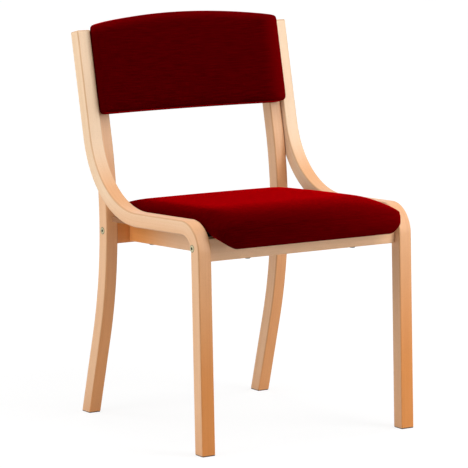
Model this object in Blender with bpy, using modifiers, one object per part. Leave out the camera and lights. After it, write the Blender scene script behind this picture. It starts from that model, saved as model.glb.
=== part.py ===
"""Conference chair with laminated side bends, curved rear legs and an upholstered seat and back.

Sizes are in metres. The origin is on the floor under the middle of the chair, +Y is the rear, and
left is the -X side, as seen from the front.
"""

import math

import bmesh
import bpy
from mathutils import Matrix, Vector

for item in list(bpy.data.objects):
    bpy.data.objects.remove(item, do_unlink=True)

# Whole chair
OVERALL_WIDTH = 0.520
GAP = 0.0003
EDGE_ROUND = 0.003
HOLE_SIDES = 12
TURNED_SIDES = 12

# Side bends: front leg, seat side and back upright in one laminated piece
BEND_WIDTH = 0.031
BEND_THICKNESS = 0.029
LEG_RAKE = math.radians(2.06)
KNEE_HEIGHT = 0.4689
KNEE_RADIUS = 0.0626
SIDE_FALL = math.radians(2.3)
SIDE_LENGTH = 0.3822
BACK_RADIUS = 0.177
BACK_LEAN = math.radians(12.7)
UPRIGHT_LENGTH = 0.3708

# Rear legs, which stand inside the bends and run up beside their uprights
REAR_LEG_WIDTH = 0.028
REAR_LEG_THICKNESS = 0.031
REAR_LEG_SPLAY = math.radians(15.0)
REAR_LEG_RADIUS = 0.900
REAR_LEG_BEND_HEIGHT = 0.380
UPRIGHT_SETBACK = 0.010

# Seat rails
RAIL_HEIGHT = 0.047
RAIL_THICKNESS = 0.018
FRONT_RAIL_DROP = 0.0354
FRONT_RAIL_SETBACK = 0.0152
SEAT_FALL = 0.0165
SIDE_RAIL_HEIGHT = 0.0445
SIDE_RAIL_THICKNESS = 0.020
SIDE_RAIL_INSET = 0.059

# Seat
SEAT_SIDE_GAP = 0.0015
SEAT_REAR_GAP = 0.005
SEAT_OVERHANG = 0.013
SEAT_THICKNESS = 0.0507
SEAT_SIDE_FALL = 0.0095
SEAT_REAR_FALL = 0.0027
SEAT_CORNER_WIDTH = 0.075
SEAT_CORNER_LENGTH = 0.050
SEAT_REAR_ROUND = 0.068
SEAT_ROLL = 0.0328
SEAT_WATERFALL = 0.0153
SEAT_WATERFALL_LENGTH = 0.144
SEAT_BOARD_THICKNESS = 0.010
SEAT_BOARD_RADIUS = 0.016
SEAT_BOARD_INSET = 0.006
LINING_THICKNESS = 0.001
LIP_DROP = 0.0216
LIP_CLEARANCE = 0.004
LIP_HALF_LENGTH = 0.150
LIP_TILT = math.radians(14.0)

# Back pad
BACK_SIDE_GAP = 0.0012
BACK_PAD_THICKNESS = 0.0275
BACK_PAD_RISE = 0.0065
BACK_PAD_DROP = 0.1775
BACK_SAG = 0.022
BACK_ARCH = 0.0212
BACK_BOTTOM_ARCH = 0.004
BACK_CROWN = 0.003
BACK_CORNER = 0.014
BACK_ROLL = 0.012
BACK_BOARD_THICKNESS = 0.009
BACK_BOARD_INSET = 0.005

# Cover cloth, with its wadding
COVER_THICKNESS = 0.0018
COVER_EASE = 0.0008

# Frame bolts and barrel nuts
BOLT_RADIUS = 0.003
BOLT_HEAD_RADIUS = 0.0075
BOLT_HEAD_HEIGHT = 0.0018
BOLT_REACH = 0.034
BOLT_RISE = 0.005
BOLT_SOCKET_RADIUS = 0.0027
BOLT_SOCKET_DEPTH = 0.0014
FRONT_BOLT_INSET = 0.0075
NUT_RADIUS = 0.005
NUT_LENGTH = 0.014
NUT_DEPTH = 0.025

# Dowels
DOWEL_RADIUS = 0.004
RAIL_DOWEL_DROP = 0.012
RAIL_DOWEL_LENGTH = 0.034
SIDE_DOWEL_LENGTH = 0.024
UPRIGHT_DOWEL_LENGTH = 0.022
UPRIGHT_DOWEL_DROPS = (0.075, 0.178)

# Seat and back screws with their threaded inserts
SCREW_RADIUS = 0.003
SCREW_HEAD_RADIUS = 0.00625
SCREW_HEAD_HEIGHT = 0.0027
INSERT_RADIUS = 0.005
INSERT_LENGTH = 0.0058
INSERT_RECESS = 0.0017
FRONT_SCREW_SPREAD = 0.128
REAR_SCREW_DISTANCE = 0.075
BACK_SCREW_DROPS = (0.040, 0.140)

# Glides under the feet
GLIDE_INSET = 0.001
GLIDE_HEIGHT = 0.002
GLIDE_PIN_RADIUS = 0.002
GLIDE_PIN_LENGTH = 0.012

# Turns an outline drawn in a flat plane so that its two directions are the ones named
TURNS = {
    "yz": (math.pi / 2, 0.0, math.pi / 2),
    "xz": (math.pi / 2, 0.0, 0.0),
    "xy": (0.0, 0.0, 0.0),
}

parts = bpy.data.collections.new("conference_chair")
cutters = bpy.data.collections.new("cutters")
bpy.context.scene.collection.children.link(parts)
bpy.context.scene.collection.children.link(cutters)


def surface(name, colour, roughness, metallic=0.0):
    """Material with one colour, roughness and metallic value."""
    material = bpy.data.materials.new(name)
    material.use_nodes = True
    shader = material.node_tree.nodes["Principled BSDF"]
    shader.inputs["Base Color"].default_value = (*colour, 1.0)
    shader.inputs["Roughness"].default_value = roughness
    shader.inputs["Metallic"].default_value = metallic
    material.diffuse_color = (*colour, 1.0)
    return material


laminate = surface("laminated_beech", (0.78, 0.50, 0.27), 0.42)
beech = surface("solid_beech", (0.68, 0.38, 0.18), 0.48)
plywood = surface("plywood", (0.66, 0.47, 0.28), 0.60)
fabric = surface("red_fabric", (0.30, 0.004, 0.004), 0.90)
foam = surface("foam", (0.75, 0.70, 0.52), 0.95)
lining = surface("black_lining", (0.012, 0.012, 0.012), 0.90)
brassed = surface("brassed_steel", (0.62, 0.47, 0.24), 0.35, 1.0)
zinc = surface("zinc_steel", (0.60, 0.60, 0.58), 0.38, 1.0)
plastic = surface("brown_plastic", (0.055, 0.032, 0.020), 0.55)


def place(name, data, material, parent):
    """Object of a piece, or a cutter where it has no material."""
    item = bpy.data.objects.new(name, data)
    item.parent = parent
    if material is None:
        cutters.objects.link(item)
        item.hide_render = True
        item.display_type = "WIRE"
    else:
        parts.objects.link(item)
        data.materials.append(material)
    return item


def right_of(heading):
    return Vector((heading.y, -heading.x))


def bent_path(corners, radii, steps):
    """Points along straight runs with rounded corners, each with the unit normal on its right."""
    runs = [(end - start).normalized() for start, end in zip(corners, corners[1:])]
    path = [(corners[0], right_of(runs[0]))]
    for corner, radius, count, before, after in zip(corners[1:], radii, steps, runs, runs[1:]):
        turn = before.angle_signed(after)
        side = math.copysign(1.0, turn)
        start = corner - before * radius * math.tan(abs(turn) / 2)
        centre = start + right_of(before) * radius * side
        for step in range(count + 1):
            normal = right_of(Matrix.Rotation(-turn * step / count, 2) @ before)
            path.append((centre - normal * radius * side, normal))
    path.append((corners[-1], right_of(runs[-1])))
    return path


def band(path, thickness):
    """Outline of a strip that lies on the right of a path."""
    back = [point + normal * thickness for point, normal in path]
    return [point for point, normal in path] + back[::-1]


def leg_outline(path, thickness, end):
    """Outline of a leg whose first run goes down to a level end."""
    outline = band(path, thickness)
    for foot, above in ((0, 1), (-1, -2)):
        run = outline[above] - outline[foot]
        outline[foot] = outline[above] - run * ((outline[above].y - end) / run.y)
    return outline


def front_at(path, height):
    """How far back the front face of a leg lies at a height."""
    for (low, _), (high, _) in zip(path, path[1:]):
        if low.y <= height <= high.y:
            return low.x + (high.x - low.x) * (height - low.y) / (high.y - low.y)


def evaluated_mesh(carrier):
    """Mesh that an object's modifiers or curve make; the object itself is removed."""
    cutters.objects.link(carrier)
    graph = bpy.context.evaluated_depsgraph_get()
    mesh = bpy.data.meshes.new_from_object(carrier.evaluated_get(graph))
    bpy.data.objects.remove(carrier, do_unlink=True)
    return mesh


def extruded(name, outline, plane, centre, depth, material=None, parent=None, rounding=0.0):
    """Solid with a flat outline, centred across its depth, with its edges rounded."""
    curve = bpy.data.curves.new(name, "CURVE")
    curve.dimensions = "2D"
    curve.fill_mode = "BOTH"
    curve.extrude = depth / 2
    spline = curve.splines.new("POLY")
    spline.points.add(len(outline) - 1)
    for point, (along, up) in zip(spline.points, outline):
        point.co = (along, up, 0.0, 1.0)
    spline.use_cyclic_u = True
    mesh = evaluated_mesh(bpy.data.objects.new(name + "_outline", curve))
    form = bmesh.new()
    form.from_mesh(mesh)
    bmesh.ops.remove_doubles(form, verts=form.verts, dist=1e-6)
    bmesh.ops.dissolve_limit(form, angle_limit=0.005, verts=form.verts, edges=form.edges)
    bmesh.ops.recalc_face_normals(form, faces=form.faces)
    form.to_mesh(mesh)
    form.free()
    item = place(name, mesh, material, parent)
    item.location = centre
    item.rotation_euler = TURNS[plane]
    if rounding:
        bevel = item.modifiers.new("rounding", "BEVEL")
        bevel.width = rounding
        bevel.segments = 2
        bevel.limit_method = "ANGLE"
        bevel.angle_limit = math.radians(40)
    return item


def box(name, low, high, material=None, parent=None, rounding=0.0):
    """Box between two corners, with its edges rounded."""
    outline = [(low[0], low[1]), (high[0], low[1]), (high[0], high[1]), (low[0], high[1])]
    centre = (0.0, 0.0, (low[2] + high[2]) / 2)
    return extruded(name, outline, "xy", centre, high[2] - low[2], material, parent, rounding)


def turned(name, profile, start, direction, material=None, parent=None, closed=False):
    """Solid turned from a (radius, distance) profile about a line that leaves start."""
    form = bmesh.new()
    points = [form.verts.new((radius, 0.0, distance)) for radius, distance in profile]
    for near, far in zip(points, points[1:] + points[:1] * closed):
        form.edges.new((near, far))
    mesh = bpy.data.meshes.new(name)
    form.to_mesh(mesh)
    form.free()
    item = place(name, mesh, material, parent)
    item.location = start
    item.rotation_euler = Vector((0, 0, 1)).rotation_difference(Vector(direction)).to_euler()
    screw = item.modifiers.new("turn", "SCREW")
    screw.steps = TURNED_SIDES
    screw.render_steps = TURNED_SIDES
    screw.use_merge_vertices = True
    screw.merge_threshold = 1e-5
    screw.use_normal_flip = True
    return item


def cut(piece, cutter, operation="DIFFERENCE"):
    boolean = piece.modifiers.new(cutter.name, "BOOLEAN")
    boolean.operation = operation
    boolean.solver = "EXACT"
    boolean.object = cutter


def drill(name, pieces, start, end, radius, parent=None, sides=HOLE_SIDES):
    """Round hole from start to end through each of the pieces."""
    start = Vector(start)
    axis = Vector(end) - start
    form = bmesh.new()
    bmesh.ops.create_cone(
        form,
        cap_ends=True,
        segments=sides,
        radius1=radius,
        radius2=radius,
        depth=axis.length,
    )
    mesh = bpy.data.meshes.new(name)
    form.to_mesh(mesh)
    form.free()
    cutter = place(name, mesh, None, parent)
    cutter.location = start + axis / 2
    cutter.rotation_euler = Vector((0, 0, 1)).rotation_difference(axis).to_euler()
    for piece in pieces:
        cut(piece, cutter)


def soft_form(name, places, hem, shape, smoothing, material, parent):
    """Padded solid smoothed from a box with loops at the given places along x, y and z.

    The end named by the hem, as an axis and a place on it, keeps a sharp edge. Each point of the
    smoothed box is then moved by shape.
    """
    form = bmesh.new()
    bmesh.ops.create_cube(form, size=1.0)
    for axis, stops in enumerate(places):
        for point in form.verts:
            point.co[axis] = stops[0] if point.co[axis] < 0 else stops[-1]
    for axis, stops in enumerate(places):
        normal = Vector([float(index == axis) for index in range(3)])
        for stop in stops[1:-1]:
            everything = form.verts[:] + form.edges[:] + form.faces[:]
            bmesh.ops.bisect_plane(form, geom=everything, plane_co=normal * stop, plane_no=normal)
    hem_axis, hem_place = hem
    sharp = form.edges.layers.float.new("crease_edge")
    for edge in form.edges:
        flat = [
            face
            for face in edge.link_faces
            if all(abs(point.co[hem_axis] - hem_place) < 1e-6 for point in face.verts)
        ]
        edge[sharp] = float(len(flat) == 1)
    mesh = bpy.data.meshes.new(name + "_box")
    form.to_mesh(mesh)
    form.free()
    carrier = bpy.data.objects.new(name + "_box", mesh)
    smooth = carrier.modifiers.new("smoothing", "SUBSURF")
    smooth.levels = smoothing
    smooth.render_levels = smoothing
    smoothed = evaluated_mesh(carrier)
    for point in smoothed.vertices:
        point.co = shape(point.co.copy())
    return place(name, smoothed, material, parent)


def head_profile(radius, height, shank, length):
    """Domed head outside the surface and a shank inside it."""
    return [
        (0.0, -GAP - height),
        (radius * 0.62, -GAP - height * 0.92),
        (radius * 0.93, -GAP - height * 0.58),
        (radius, -GAP - height * 0.15),
        (radius, -GAP),
        (shank, -GAP),
        (shank, length),
        (0.0, length),
    ]


def pin_profile(radius, length):
    """Pin with a small taper at both ends."""
    taper = radius / 5
    return [
        (0.0, 0.0),
        (radius - taper, 0.0),
        (radius, taper),
        (radius, length - taper),
        (radius - taper, length),
        (0.0, length),
    ]


def ring_profile(inner, outer, length):
    return [(inner, 0.0), (outer, 0.0), (outer, length), (inner, length)]


# Places across the chair, as distances from its middle
bend_inner = OVERALL_WIDTH / 2 - BEND_WIDTH
bend_middle = OVERALL_WIDTH / 2 - BEND_WIDTH / 2
rear_leg_outer = bend_inner - GAP
rear_leg_inner = rear_leg_outer - REAR_LEG_WIDTH
rear_leg_middle = rear_leg_outer - REAR_LEG_WIDTH / 2
side_rail_outer = bend_inner - SIDE_RAIL_INSET
side_rail_middle = side_rail_outer - SIDE_RAIL_THICKNESS / 2

# Side view as (back, up) points, measured from the front foot and then moved to the middle
upright_heading = Vector((math.sin(BACK_LEAN), math.cos(BACK_LEAN)))
side_heading = Vector((math.cos(SIDE_FALL), -math.sin(SIDE_FALL)))
front_foot = Vector((0.0, 0.0))
knee = Vector((KNEE_HEIGHT * math.tan(LEG_RAKE), KNEE_HEIGHT))
back_corner = knee + side_heading * SIDE_LENGTH
upright_top = back_corner + upright_heading * UPRIGHT_LENGTH
rear_top = upright_top + right_of(upright_heading) * UPRIGHT_SETBACK
rear_corner = rear_top + upright_heading * ((REAR_LEG_BEND_HEIGHT - rear_top.y) / upright_heading.y)
rear_foot = rear_corner + Vector((math.tan(REAR_LEG_SPLAY), -1.0)) * REAR_LEG_BEND_HEIGHT
rear_foot_depth = REAR_LEG_THICKNESS / math.cos(REAR_LEG_SPLAY)
front_foot_depth = BEND_THICKNESS / math.cos(LEG_RAKE)
to_middle = Vector(((SEAT_OVERHANG - rear_foot.x - rear_foot_depth) / 2, 0.0))
for spot in (front_foot, knee, back_corner, upright_top, rear_top, rear_corner, rear_foot):
    spot += to_middle
bend_path = bent_path(
    [front_foot, knee, back_corner, upright_top], [KNEE_RADIUS, BACK_RADIUS], [8, 9]
)
rear_path = bent_path([rear_foot, rear_corner, rear_top], [REAR_LEG_RADIUS], [9])
sole = GLIDE_HEIGHT + GAP

# Rails in the side view
front_rail_top = KNEE_HEIGHT - FRONT_RAIL_DROP
front_rail_bottom = front_rail_top - RAIL_HEIGHT
front_rail_height = front_rail_top - RAIL_HEIGHT / 2
front_rail_front = (
    front_foot.x + front_rail_height * math.tan(LEG_RAKE) + FRONT_RAIL_SETBACK
)
front_rail_back = front_rail_front + RAIL_THICKNESS
rear_rail_top = front_rail_top - SEAT_FALL
rear_rail_bottom = rear_rail_top - RAIL_HEIGHT
rear_rail_height = rear_rail_top - RAIL_HEIGHT / 2
rear_leg_front = front_at(rear_path, rear_rail_height)
rear_rail_front = rear_leg_front + (REAR_LEG_THICKNESS - RAIL_THICKNESS) / 2
rear_rail_back = rear_rail_front + RAIL_THICKNESS
seat_tilt = math.atan2(SEAT_FALL, rear_rail_back - front_rail_back)

# Frames that carry the seat and the back
seat_frame = bpy.data.objects.new("seat_frame", None)
parts.objects.link(seat_frame)
seat_frame.location = (0.0, front_rail_back, front_rail_top)
seat_frame.rotation_euler = (-seat_tilt, 0.0, 0.0)
back_frame = bpy.data.objects.new("back_frame", None)
parts.objects.link(back_frame)
back_frame.location = (0.0, rear_top.x, rear_top.y)
back_frame.rotation_euler = (-BACK_LEAN, 0.0, 0.0)


def seat_plane(back):
    """Height of the plane that the seat lies on."""
    return front_rail_top - (back - front_rail_back) * math.tan(seat_tilt)


# Bends and rear legs, cut off level at their soles, and rails
overlong = -4 * EDGE_ROUND
bend_outline = leg_outline(bend_path, BEND_THICKNESS, overlong)
rear_outline = leg_outline(rear_path, REAR_LEG_THICKNESS, overlong)
below_soles = box(
    "below_soles",
    (-OVERALL_WIDTH, 2 * front_foot.x, 2 * overlong),
    (OVERALL_WIDTH, 2 * rear_foot.x, sole),
)
bends = {}
rear_legs = {}
side_rails = {}
for side, sign in (("left", -1), ("right", 1)):
    bends[side] = extruded(
        "side_bend_" + side,
        bend_outline,
        "yz",
        (sign * bend_middle, 0.0, 0.0),
        BEND_WIDTH,
        laminate,
        rounding=EDGE_ROUND,
    )
    rear_legs[side] = extruded(
        "rear_leg_" + side,
        rear_outline,
        "yz",
        (sign * rear_leg_middle, 0.0, 0.0),
        REAR_LEG_WIDTH,
        laminate,
        rounding=EDGE_ROUND,
    )
    cut(bends[side], below_soles)
    cut(rear_legs[side], below_soles)
    side_rail_start = front_rail_back + GAP
    side_rail_end = rear_rail_front - GAP
    side_rails[side] = extruded(
        "side_rail_" + side,
        [
            (side_rail_start, seat_plane(side_rail_start) - SIDE_RAIL_HEIGHT),
            (side_rail_end, seat_plane(side_rail_end) - SIDE_RAIL_HEIGHT),
            (side_rail_end, seat_plane(side_rail_end) - GAP),
            (side_rail_start, seat_plane(side_rail_start) - GAP),
        ],
        "yz",
        (sign * side_rail_middle, 0.0, 0.0),
        SIDE_RAIL_THICKNESS,
        beech,
    )
front_rail = box(
    "front_rail",
    (GAP - bend_inner, front_rail_front, front_rail_bottom),
    (bend_inner - GAP, front_rail_back, front_rail_top),
    beech,
)
rear_rail = box(
    "rear_rail",
    (GAP - rear_leg_inner, rear_rail_front, rear_rail_bottom),
    (rear_leg_inner - GAP, rear_rail_back, rear_rail_top),
    beech,
)

# Seat, in the seat frame: forward and back from the front rail's back edge, up from the rails
seat_half = bend_inner - SEAT_SIDE_GAP
seat_front = front_foot.x - SEAT_OVERHANG - front_rail_back
seat_rear = front_at(rear_path, rear_rail_top) - SEAT_REAR_GAP - front_rail_back
board_bottom = LINING_THICKNESS + 2 * GAP
board_top = board_bottom + SEAT_BOARD_THICKNESS
board_half = seat_half - SEAT_BOARD_INSET
board_rear = seat_rear - SEAT_BOARD_INSET
lip_back = -RAIL_THICKNESS - LIP_CLEARANCE
lip_front = lip_back - SEAT_BOARD_THICKNESS
lip_end = COVER_THICKNESS + 2 * GAP - LIP_DROP


def seat_form(name, inset, smoothing, material=None):
    """Waterfall cushion down to the bottom of its lip, drawn in all round by an inset."""
    half = seat_half - inset
    front = seat_front + inset
    rear = seat_rear - inset
    top = SEAT_THICKNESS - inset
    low = inset - LIP_DROP
    middle = (front + rear) / 2
    columns = [-half, SEAT_CORNER_WIDTH - half, 0.0, half - SEAT_CORNER_WIDTH, half]
    rows = [front, front + SEAT_CORNER_LENGTH, middle, rear - SEAT_REAR_ROUND, rear]
    layers = [low, top - SEAT_ROLL, top]

    def shape(point):
        side = max(0.0, 2 * abs(point.x) / half - 1)
        fall = max(0.0, 1 - (point.y - front) / SEAT_WATERFALL_LENGTH)
        back = max(0.0, (point.y - middle) / (rear - middle))
        share = max(0.0, (point.z - board_top) / (top - board_top))
        drop = SEAT_SIDE_FALL * side**3.5 + SEAT_WATERFALL * fall**2 + SEAT_REAR_FALL * back**2
        point.z -= share * drop
        return point

    places = (columns, rows, layers)
    return soft_form(name, places, (2, low), shape, smoothing, material, seat_frame)


def lip_corner(name, sign, lift):
    """Wedge that cuts a lower front corner of the cushion away, along a slope up to its side.

    The slope runs down towards the front by the tilt, so the front face keeps a fuller corner.
    """
    slope = (board_top + GAP + LIP_DROP) / (seat_half - LIP_HALF_LENGTH)
    low = lift - LIP_DROP
    reach = 2 * SEAT_CORNER_LENGTH
    ahead = reach / 2 - RAIL_THICKNESS
    wedge = extruded(
        name,
        [
            (sign * LIP_HALF_LENGTH, low),
            (sign * (LIP_HALF_LENGTH + reach), low + reach * slope),
            (sign * (LIP_HALF_LENGTH + reach), low - reach),
            (sign * LIP_HALF_LENGTH, low - reach),
        ],
        "xz",
        (0.0, lip_back - ahead * math.cos(LIP_TILT), -ahead * math.sin(LIP_TILT)),
        reach,
        None,
        seat_frame,
    )
    wedge.rotation_euler.x += LIP_TILT
    return wedge


board_path = bent_path(
    [Vector((board_rear, board_top)), Vector((lip_front, board_top)), Vector((lip_front, lip_end))],
    [SEAT_BOARD_RADIUS],
    [5],
)
seat_board = extruded(
    "seat_board",
    band(board_path, -SEAT_BOARD_THICKNESS),
    "yz",
    (0.0, 0.0, 0.0),
    2 * board_half,
    plywood,
    seat_frame,
)
seat_lining = extruded(
    "seat_lining",
    [
        (-board_half - LINING_THICKNESS - GAP, board_rear + LINING_THICKNESS + GAP),
        (-board_half - LINING_THICKNESS - GAP, 0.0),
        (-LIP_HALF_LENGTH, -RAIL_THICKNESS / 2 - LINING_THICKNESS - GAP),
        (LIP_HALF_LENGTH, -RAIL_THICKNESS / 2 - LINING_THICKNESS - GAP),
        (board_half + LINING_THICKNESS + GAP, 0.0),
        (board_half + LINING_THICKNESS + GAP, board_rear + LINING_THICKNESS + GAP),
    ],
    "xy",
    (0.0, 0.0, GAP + (board_top - GAP) / 2),
    board_top - GAP,
    lining,
    seat_frame,
)
lining_hollow = extruded(
    "lining_hollow",
    [
        (-board_half - GAP, board_rear + GAP),
        (-board_half - GAP, LINING_THICKNESS),
        (-LIP_HALF_LENGTH, LINING_THICKNESS - RAIL_THICKNESS / 2),
        (-LIP_HALF_LENGTH, -RAIL_THICKNESS),
        (LIP_HALF_LENGTH, -RAIL_THICKNESS),
        (LIP_HALF_LENGTH, LINING_THICKNESS - RAIL_THICKNESS / 2),
        (board_half + GAP, LINING_THICKNESS),
        (board_half + GAP, board_rear + GAP),
    ],
    "xy",
    (0.0, 0.0, board_bottom - GAP + board_top / 2),
    board_top,
    None,
    seat_frame,
)
cut(seat_lining, lining_hollow)
for side, sign in (("left", -1), ("right", 1)):
    board_corner = extruded(
        "board_corner_" + side,
        [
            (sign * (LIP_HALF_LENGTH - GAP), 2 * seat_front),
            (sign * (LIP_HALF_LENGTH - GAP), LINING_THICKNESS + GAP - RAIL_THICKNESS / 2),
            (sign * (board_half + GAP), LINING_THICKNESS + GAP),
            (sign * (board_half + SEAT_CORNER_WIDTH), LINING_THICKNESS + GAP),
            (sign * (board_half + SEAT_CORNER_WIDTH), 2 * seat_front),
        ],
        "xy",
        (0.0, 0.0, 0.0),
        4 * SEAT_THICKNESS,
        None,
        seat_frame,
    )
    cut(seat_board, board_corner)

seat_cover = seat_form("seat_cover", 0.0, 2, fabric)
cut(seat_cover, seat_form("seat_cover_inside", COVER_THICKNESS, 1))
seat_foam = seat_form("seat_foam", COVER_THICKNESS + COVER_EASE, 1, foam)
cover_pocket = box(
    "cover_pocket",
    (-2 * seat_half, lip_back, -4 * LIP_DROP),
    (2 * seat_half, 2 * seat_rear, board_top + GAP),
    None,
    seat_frame,
)
cut(seat_cover, cover_pocket)
above_board = [point + normal * GAP for point, normal in board_path]
foam_pocket = extruded(
    "foam_pocket",
    [Vector((2 * seat_rear, board_top + GAP))]
    + above_board[1:]
    + [Vector((lip_front - GAP, -4 * LIP_DROP)), Vector((2 * seat_rear, -4 * LIP_DROP))],
    "yz",
    (0.0, 0.0, 0.0),
    4 * seat_half,
    None,
    seat_frame,
)
cut(seat_foam, foam_pocket)
for side, sign in (("left", -1), ("right", 1)):
    cut(seat_cover, lip_corner("cover_corner_" + side, sign, 0.0))
    cut(seat_foam, lip_corner("foam_corner_" + side, sign, COVER_THICKNESS))

# Back pad, in the back frame: back from the rear uprights' front faces, up from their tops
back_half = bend_inner - BACK_SIDE_GAP
back_board_front = COVER_THICKNESS + GAP + BACK_BOARD_THICKNESS


def back_sag(across):
    return BACK_SAG * (1 - (across / back_half) ** 2)


def back_rear(across):
    """Rear face of the back pad, which meets the rear uprights at their inner edges."""
    return back_sag(across) - back_sag(rear_leg_inner) - COVER_EASE


def back_form(name, inset, edge_inset, smoothing, material=None):
    """Curved pad with an arched top, drawn in at its faces and at its edges."""
    half = back_half - edge_inset
    front = inset - BACK_PAD_THICKNESS
    low = edge_inset - BACK_PAD_DROP
    high = BACK_PAD_RISE - edge_inset
    bay = (half - BACK_CORNER) / 3
    middles = [0.0] if smoothing > 1 else [-bay, bay]
    columns = [-half, BACK_CORNER - half, *middles, half - BACK_CORNER, half]
    rows = [front, front + BACK_ROLL, -inset]
    layers = [low, low + BACK_CORNER, high - BACK_CORNER, high]

    def shape(point):
        bulge = 1 - (point.x / half) ** 2
        share = (point.z - low) / (high - low)
        lead = (point.y + inset) / (front + inset)
        point.y += back_rear(point.x) - BACK_CROWN * lead * bulge * 4 * share * (1 - share)
        point.z += bulge * (BACK_ARCH * share + BACK_BOTTOM_ARCH * (1 - share))
        return point

    places = (columns, rows, layers)
    return soft_form(name, places, (1, -inset), shape, smoothing, material, back_frame)


def behind_board(name, lead):
    """Everything behind the front face of the back's board, moved forward by a lead."""
    places_across = [back_half * (step / 6 - 1) * 1.2 for step in range(13)]
    outline = [(across, back_rear(across) - back_board_front - lead) for across in places_across]
    outline += [(places_across[-1], 4 * BACK_SAG), (places_across[0], 4 * BACK_SAG)]
    middle = (BACK_PAD_RISE + BACK_ARCH - BACK_PAD_DROP) / 2
    depth = 2 * BACK_PAD_DROP
    return extruded(name, outline, "xy", (0.0, 0.0, middle), depth, None, back_frame)


back_cover = back_form("back_cover", 0.0, 0.0, 2, fabric)
cut(back_cover, back_form("back_cover_inside", COVER_THICKNESS, COVER_THICKNESS, 1))
back_foam = back_form(
    "back_foam", COVER_THICKNESS + COVER_EASE, COVER_THICKNESS + COVER_EASE, 1, foam
)
cut(back_foam, behind_board("behind_foam", GAP))
back_board = back_form(
    "back_board", COVER_THICKNESS + GAP, COVER_THICKNESS + BACK_BOARD_INSET, 1, plywood
)
cut(back_board, behind_board("board_region", 0.0), "INTERSECT")


def hole_radius(radius):
    """Radius of a hole whose flats clear a pin of this radius."""
    return (radius + GAP) / math.cos(math.pi / HOLE_SIDES)


def add_bolt(label, leg, rail, start, direction, leg_width):
    """Frame bolt through a leg into a barrel nut in the end of a rail."""
    start = Vector(start)
    direction = Vector(direction)
    length = leg_width + BOLT_REACH
    bolt = turned(
        "bolt_" + label,
        [
            (0.0, -GAP - BOLT_HEAD_HEIGHT),
            (BOLT_HEAD_RADIUS - BOLT_HEAD_HEIGHT / 3, -GAP - BOLT_HEAD_HEIGHT),
            (BOLT_HEAD_RADIUS, -GAP - BOLT_HEAD_HEIGHT * 2 / 3),
            (BOLT_HEAD_RADIUS, -GAP),
            (BOLT_RADIUS, -GAP),
            (BOLT_RADIUS, length),
            (0.0, length),
        ],
        start,
        direction,
        brassed,
    )
    head_top = start - direction * (GAP + BOLT_HEAD_HEIGHT)
    drill(
        "socket_" + label,
        [bolt],
        head_top - direction * BOLT_SOCKET_DEPTH,
        head_top + direction * BOLT_SOCKET_DEPTH,
        BOLT_SOCKET_RADIUS,
        sides=6,
    )
    nut_middle = start + direction * (leg_width + 2 * GAP + NUT_DEPTH)
    nut_bottom = nut_middle - Vector((0.0, 0.0, NUT_LENGTH / 2))
    nut = turned(
        "barrel_nut_" + label, pin_profile(NUT_RADIUS, NUT_LENGTH), nut_bottom, (0, 0, 1), zinc
    )
    drill(
        "nut_hole_" + label,
        [rail],
        nut_middle - Vector((0.0, 0.0, RAIL_HEIGHT)),
        nut_middle + Vector((0.0, 0.0, NUT_LENGTH / 2 + GAP)),
        hole_radius(NUT_RADIUS),
    )
    drill(
        "bolt_hole_" + label,
        [leg, rail, nut],
        start - direction * BOLT_HEAD_RADIUS,
        start + direction * (length + GAP),
        hole_radius(BOLT_RADIUS),
    )


def add_dowel(label, pieces, middle, direction, length, parent=None):
    """Dowel half in one piece and half in the other."""
    direction = Vector(direction)
    start = Vector(middle) - direction * length / 2
    turned(
        "dowel_" + label, pin_profile(DOWEL_RADIUS, length), start, direction, beech, parent
    )
    drill(
        "dowel_hole_" + label,
        pieces,
        start - direction * GAP,
        start + direction * (length + GAP),
        hole_radius(DOWEL_RADIUS),
        parent,
    )


def add_screw(label, pieces, board, start, direction, to_insert, parent=None):
    """Screw through the pieces into a threaded insert in a board."""
    start = Vector(start)
    direction = Vector(direction)
    length = to_insert + INSERT_LENGTH - GAP
    turned(
        "screw_" + label,
        head_profile(SCREW_HEAD_RADIUS, SCREW_HEAD_HEIGHT, SCREW_RADIUS, length),
        start,
        direction,
        zinc,
        parent,
    )
    insert_start = start + direction * to_insert
    turned(
        "insert_" + label,
        ring_profile(hole_radius(SCREW_RADIUS), INSERT_RADIUS, INSERT_LENGTH),
        insert_start,
        direction,
        zinc,
        parent,
        closed=True,
    )
    drill(
        "screw_hole_" + label,
        pieces,
        start - direction * SCREW_HEAD_RADIUS,
        insert_start,
        hole_radius(SCREW_RADIUS),
        parent,
    )
    drill(
        "insert_hole_" + label,
        [board],
        insert_start - direction * INSERT_RADIUS,
        insert_start + direction * (INSERT_LENGTH + GAP),
        hole_radius(INSERT_RADIUS),
        parent,
    )


def add_glide(label, leg, across, back, width, depth):
    """Flat glide with a pin driven up into a foot."""
    half_width = width / 2 - GLIDE_INSET
    half_depth = depth / 2 - GLIDE_INSET
    glide = box(
        "glide_" + label,
        (across - half_width, back - half_depth, 0.0),
        (across + half_width, back + half_depth, GLIDE_HEIGHT),
        plastic,
    )
    pin = turned(
        "glide_pin_" + label,
        [
            (0.0, GLIDE_HEIGHT / 2),
            (GLIDE_PIN_RADIUS, GLIDE_HEIGHT / 2),
            (GLIDE_PIN_RADIUS, GLIDE_HEIGHT + GLIDE_PIN_LENGTH - GLIDE_PIN_RADIUS),
            (0.0, GLIDE_HEIGHT + GLIDE_PIN_LENGTH),
        ],
        (across, back, 0.0),
        (0, 0, 1),
    )
    cut(glide, pin, "UNION")
    drill(
        "glide_hole_" + label,
        [leg],
        (across, back, 0.0),
        (across, back, GLIDE_HEIGHT + GLIDE_PIN_LENGTH + GAP),
        hole_radius(GLIDE_PIN_RADIUS),
    )


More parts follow.
